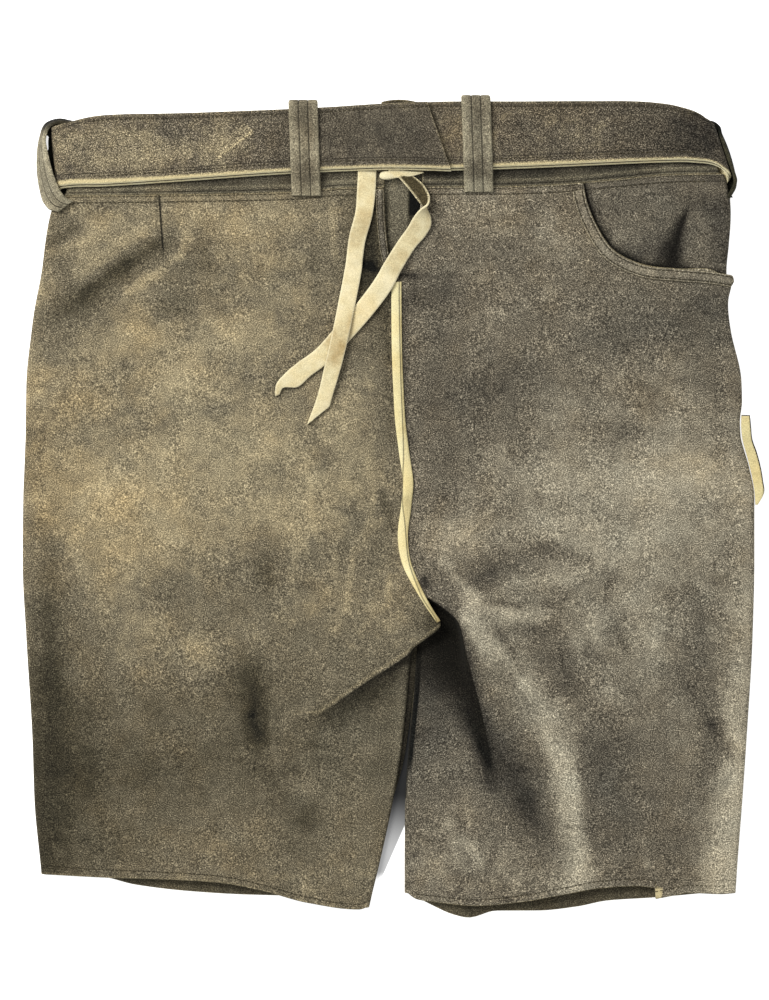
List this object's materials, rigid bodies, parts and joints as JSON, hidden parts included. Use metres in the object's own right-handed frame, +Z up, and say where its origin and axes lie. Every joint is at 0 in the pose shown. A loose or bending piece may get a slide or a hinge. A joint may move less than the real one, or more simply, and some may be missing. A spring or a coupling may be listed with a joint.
{
  "type": "lederhosen",
  "caption": "Short suede leather breeches with a self belt, laid flat face down, with a scooped pocket, gusset lace, pale welts and belt loops.",
  "frame": {"origin": "bottom centre of the laid-out garment's box, on the surface that it lies on", "axes": "+X to the garment's right as seen from above its back, +Y from the hems up to the waist, +Z up from the surface, out of the garment's back"},
  "size_m": [0.5049, 0.5579, 0.0202],
  "materials": {
    "suede": "worn olive-brown suede, matt, mottled",
    "belt_leather": "olive-brown suede, darker, pale raw cut edges",
    "loop_leather": "smooth dark olive leather, ribbed",
    "lace_suede": "cream suede lace",
    "welt_suede": "cream suede welt",
    "welt_backing": "dark suede",
    "plate": "brushed, dull"
  },
  "bodies": {
    "root": {"back_left": "suede", "back_right": "suede", "front_left": "suede", "front_right": "suede", "pocket_facing": "suede", "pocket_binding": "suede", "gusset": "suede", "gusset_edge": "suede", "waistband_back_left": "suede", "waistband_back_right": "suede", "waistband_front": "suede", "belt_left_outer": "belt_leather", "belt_left_inner": "belt_leather", "belt_right_outer": "belt_leather", "belt_right_inner": "belt_leather", "loop_back_left": "loop_leather", "loop_back_right": "loop_leather", "loop_side_left": "loop_leather", "loop_side_right": "loop_leather", "loop_front_left": "loop_leather", "loop_front_right": "loop_leather", "lace_end_left": "lace_suede", "lace_end_right": "lace_suede", "lace_knot": "lace_suede", "seam_welt": "welt_suede", "side_welt": "welt_suede", "side_welt_backing": "welt_backing", "belt_plate": "plate"}
  },
  "joints": []
}
